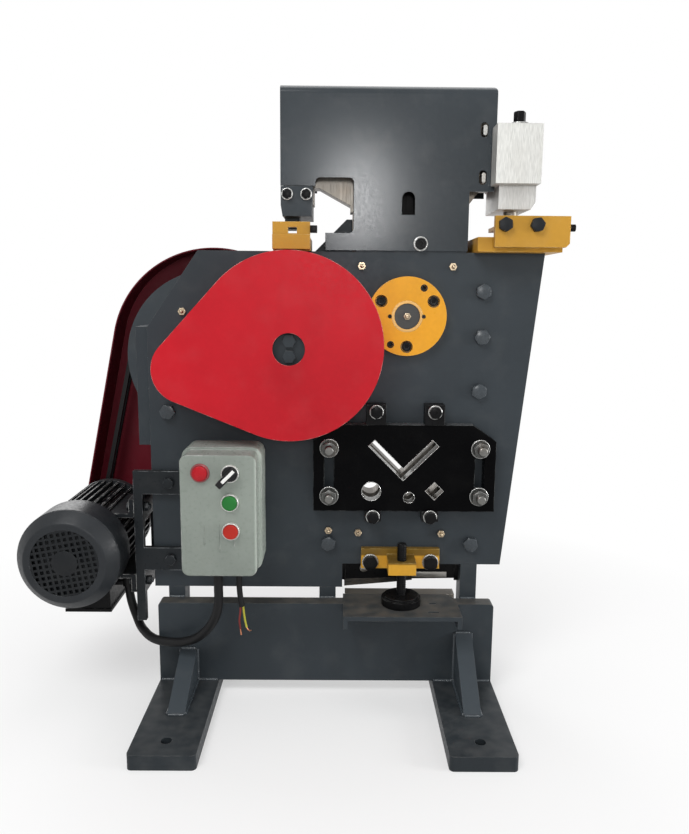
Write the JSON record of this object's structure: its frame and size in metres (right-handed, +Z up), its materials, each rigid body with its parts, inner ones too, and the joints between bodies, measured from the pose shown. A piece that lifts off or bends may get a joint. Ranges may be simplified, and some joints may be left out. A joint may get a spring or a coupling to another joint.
{
  "type": "ironworker",
  "caption": "Mechanical ironworker: plate frame on a welded base, geared eccentric ram, punch, notch, section and flat-bar shear stations, belt-driven flywheel, motor and control box.",
  "frame": {"origin": "on the floor, at the centre of the four anchor holes in the feet", "axes": "+X to the operator's right, +Y away from the operator, +Z up"},
  "size_m": [0.934, 0.616, 1.071],
  "materials": {
    "frame_paint": "satin slate-grey paint over plate",
    "guard_red": "satin red paint on sheet",
    "flange_yellow": "satin yellow paint",
    "station_ochre": "ochre-yellow paint, worn at the edges",
    "black_steel": "black oxide, oiled",
    "bright_steel": "milled bright",
    "raw_steel": "raw, lightly oiled",
    "bronze": "turned",
    "motor_grey": "dark grey paint on castings",
    "belt_rubber": "matt black",
    "wire_red": "insulated copper",
    "box_grey": "grey-green enamel",
    "lamp_red": "translucent red moulding",
    "button_green": "green moulding",
    "knob_black": "black moulding"
  },
  "bodies": {
    "frame": {"base_feet": "frame_paint", "base_beam": "frame_paint", "front_plate": "frame_paint", "rear_plate": "frame_paint", "frame_spacers": "raw_steel", "frame_bolts": "frame_paint", "grease_nipples": "bright_steel", "section_die_plate": "black_steel", "die_studs": "bright_steel", "die_clamps": "black_steel", "station_bolts": "black_steel", "eccentric_flange": "flange_yellow", "flange_screws": "black_steel", "shaft_bushes": "bronze", "v_belts": "belt_rubber", "gear_guard": "guard_red", "rear_gear_guard": "guard_red", "belt_guard": "guard_red", "ram_hood": "frame_paint", "notch_die": "station_ochre", "punch_die": "raw_steel", "die_base": "station_ochre", "stripper": "station_ochre", "lower_blade": "raw_steel", "shear_table": "frame_paint", "hold_down_bracket": "station_ochre", "motor_bracket": "frame_paint", "motor_housing": "motor_grey", "motor_end_shield": "motor_grey", "fan_cover": "motor_grey", "terminal_box": "motor_grey", "control_box": "box_grey", "control_cover": "box_grey", "pilot_lamp": "lamp_red", "button_bezels": "bright_steel", "cable_glands": "belt_rubber", "motor_conduit": "belt_rubber", "power_cord": "belt_rubber", "power_wires": "wire_red"},
    "ram": {"ram": "raw_steel", "ram_bolts": "black_steel", "notch_holder": "frame_paint", "punch_block": "bright_steel", "punch_holder": "bright_steel", "punch": "raw_steel", "upper_blade": "black_steel"},
    "drive": {"pinion_shaft": "raw_steel", "flywheel": "motor_grey"},
    "intermediate": {"intermediate_shaft": "raw_steel", "bull_gear": "raw_steel", "shaft_end_plate": "frame_paint"},
    "eccentric": {"eccentric_shaft": "raw_steel", "eccentric_gear": "raw_steel"},
    "motor": {"motor_rotor": "raw_steel", "motor_pulley": "motor_grey"},
    "hold_down": {"hold_down_foot": "black_steel"},
    "hold_screw": {"hold_down_screw": "black_steel"},
    "selector": {"selector_knob": "knob_black"},
    "start": {"start_button": "button_green"},
    "stop": {"stop_button": "lamp_red"}
  },
  "joints": [
    {"name": "ram_slide", "type": "slide", "parent": "frame", "child": "ram", "axis": [0, 0, -1], "range_m": [0, 0.024]},
    {"name": "drive_turn", "type": "hinge", "parent": "frame", "child": "drive", "pos_m": [-0.23562, 0, 0.60095], "axis": [0, 1, 0], "continuous": true},
    {"name": "intermediate_turn", "type": "hinge", "parent": "frame", "child": "intermediate", "pos_m": [-0.06334, 0, 0.63695], "axis": [0, 1, 0], "continuous": true},
    {"name": "eccentric_turn", "type": "hinge", "parent": "frame", "child": "eccentric", "pos_m": [0.137, 0, 0.691], "axis": [0, 1, 0], "continuous": true},
    {"name": "motor_turn", "type": "hinge", "parent": "frame", "child": "motor", "pos_m": [-0.441, 0, 0.275], "axis": [0, 1, 0], "continuous": true},
    {"name": "hold_down_lift", "type": "slide", "parent": "frame", "child": "hold_down", "axis": [0, 0, 1], "range_m": [0, 0.032]},
    {"name": "hold_screw_turn", "type": "hinge", "parent": "hold_down", "child": "hold_screw", "pos_m": [0.134, -0.09, 0.25], "axis": [0, 0, -1], "range_deg": [0, 2880]},
    {"name": "selector_turn", "type": "hinge", "parent": "frame", "child": "selector", "pos_m": [-0.159, -0.15, 0.433], "axis": [0, 1, 0], "range_deg": [0, 90]},
    {"name": "start_press", "type": "slide", "parent": "frame", "child": "start", "axis": [0, 1, 0], "range_m": [0, 0.004], "stiffness_N_per_m": 600},
    {"name": "stop_press", "type": "slide", "parent": "frame", "child": "stop", "axis": [0, 1, 0], "range_m": [0, 0.004], "stiffness_N_per_m": 600}
  ],
  "couplings": [
    {"joint": "intermediate_turn", "follows": "drive_turn", "ratio": -0.25714},
    {"joint": "eccentric_turn", "follows": "drive_turn", "ratio": 0.081633},
    {"joint": "motor_turn", "follows": "drive_turn", "ratio": 4.6313},
    {"joint": "hold_screw_turn", "follows": "hold_down_lift", "rad_per_m": 1570.8}
  ]
}
